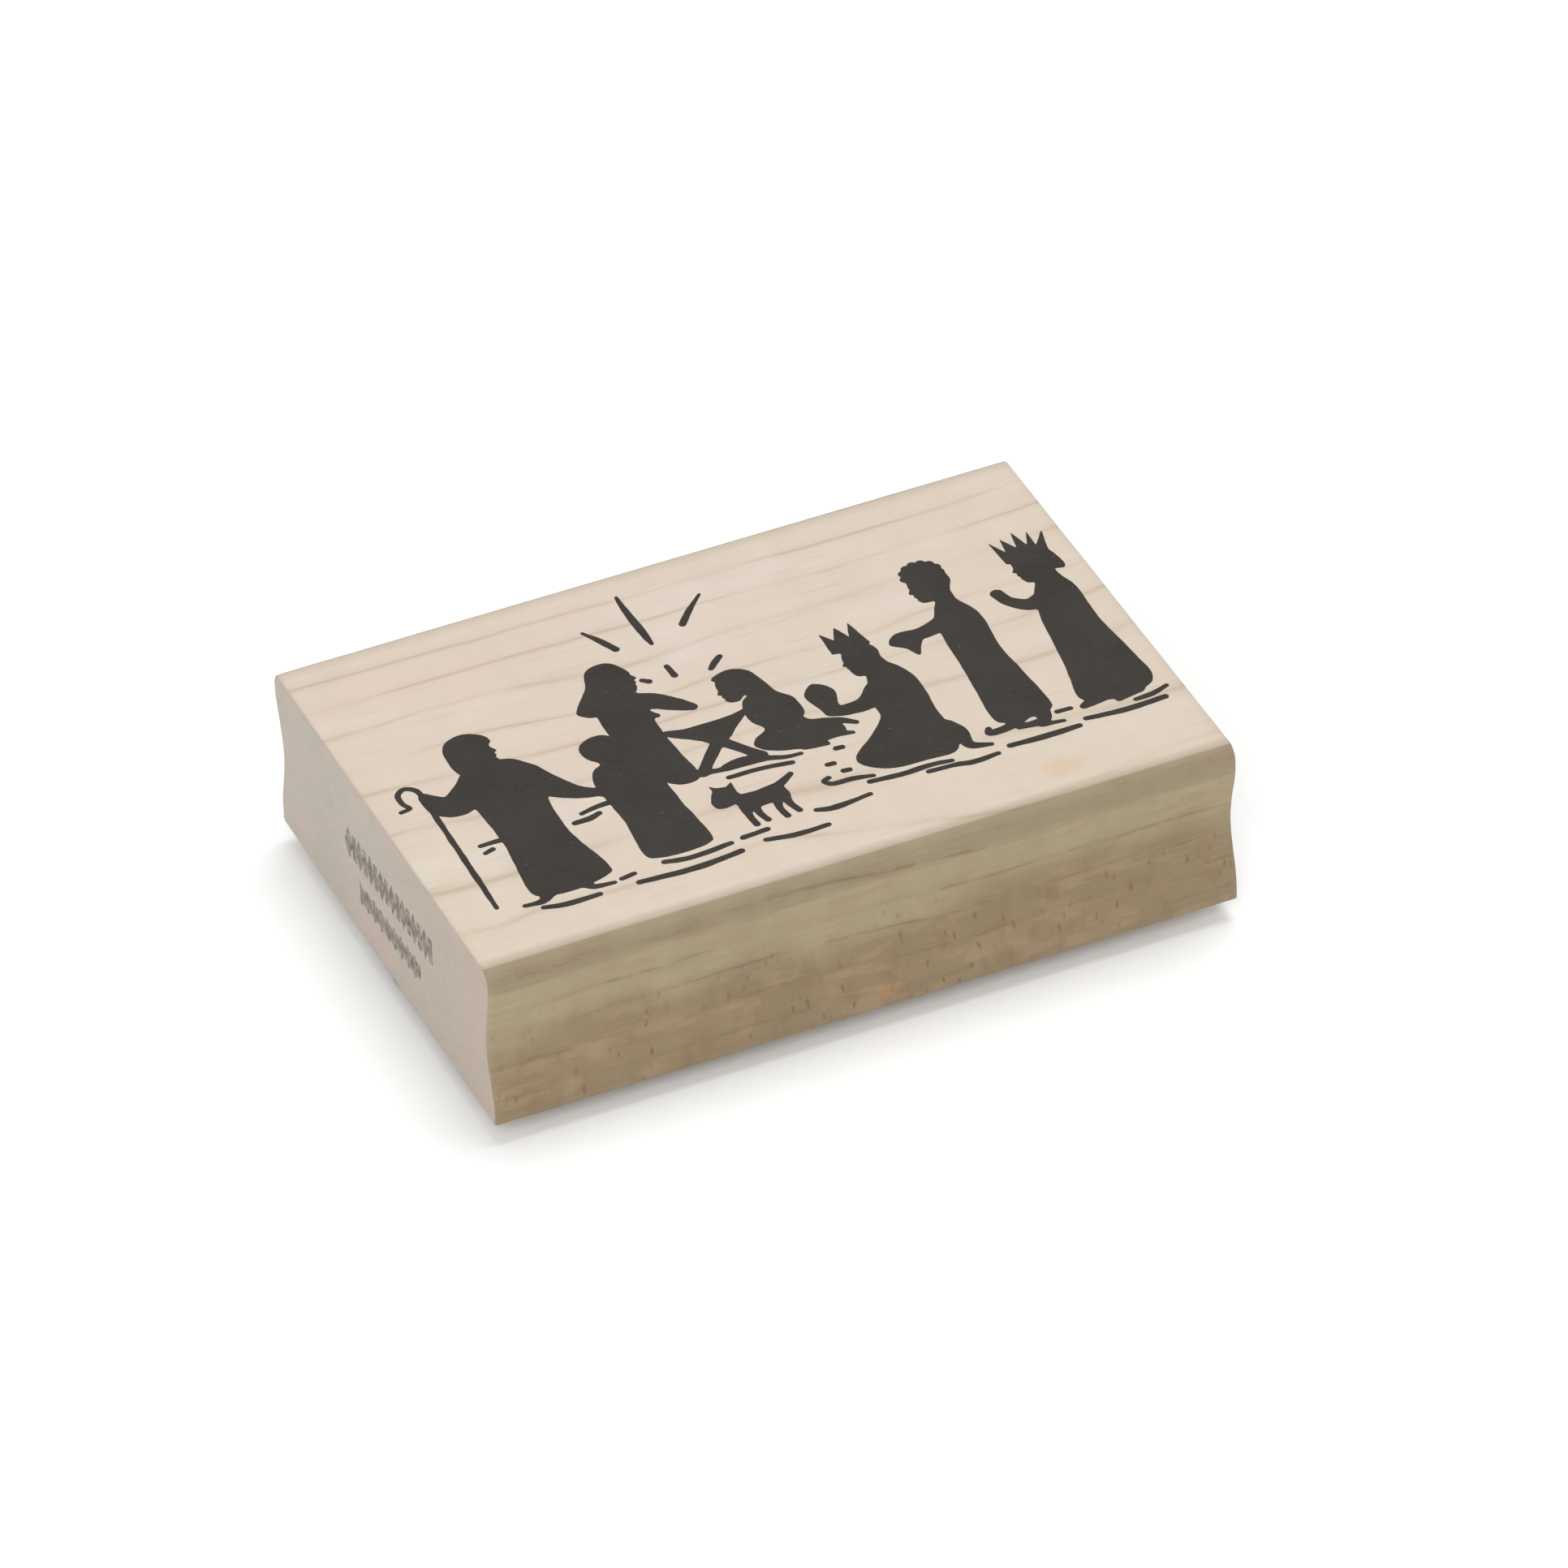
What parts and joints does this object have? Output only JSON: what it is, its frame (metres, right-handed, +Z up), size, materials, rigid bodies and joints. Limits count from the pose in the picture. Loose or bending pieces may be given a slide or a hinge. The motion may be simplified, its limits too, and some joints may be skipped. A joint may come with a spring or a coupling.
{
  "type": "wood-mounted rubber stamp",
  "caption": "Craft rubber stamp: moulded maple block with coved finger grips, foam cushion and relief rubber die under it, and the die's picture printed in ink on top.",
  "frame": {"origin": "on the surface the die's printing face stands on, under the middle of the wood block", "axes": "+X along the block's length towards the right of the picture, +Y away from the reader of the picture, +Z up out of the printed top; the die prints downwards, along -Z"},
  "size_m": [0.08, 0.0544, 0.0215],
  "materials": {
    "maple": "sanded, unvarnished",
    "ink": "matte printed ink, dark brown",
    "foam": "matte closed-cell foam",
    "rubber": "matte moulded rubber",
    "adhesive": "clear-drying adhesive film"
  },
  "bodies": {
    "root": {"adhesive_cushion_to_wood": "adhesive", "adhesive_die_to_cushion": "adhesive", "foam_cushion": "foam", "ink_dog": "ink", "ink_family_group": "ink", "ink_gift_bearer": "ink", "ink_ground_stroke_01": "ink", "ink_ground_stroke_02": "ink", "ink_ground_stroke_03": "ink", "ink_ground_stroke_04": "ink", "ink_ground_stroke_05": "ink", "ink_ground_stroke_06": "ink", "ink_ground_stroke_07": "ink", "ink_ground_stroke_08": "ink", "ink_ground_stroke_09": "ink", "ink_ground_stroke_10": "ink", "ink_ground_stroke_11": "ink", "ink_ground_stroke_12": "ink", "ink_ground_stroke_13": "ink", "ink_ground_stroke_14": "ink", "ink_ground_stroke_15": "ink", "ink_ground_stroke_16": "ink", "ink_ground_stroke_17": "ink", "ink_ground_stroke_18": "ink", "ink_ground_stroke_19": "ink", "ink_ground_stroke_20": "ink", "ink_kneeling_king": "ink", "ink_ray_left_long": "ink", "ink_ray_left_short": "ink", "ink_ray_middle_long": "ink", "ink_ray_middle_short": "ink", "ink_ray_right_long": "ink", "ink_ray_right_short": "ink", "ink_standing_king": "ink", "rubber_die": "rubber", "wood_block": "maple"}
  },
  "joints": []
}
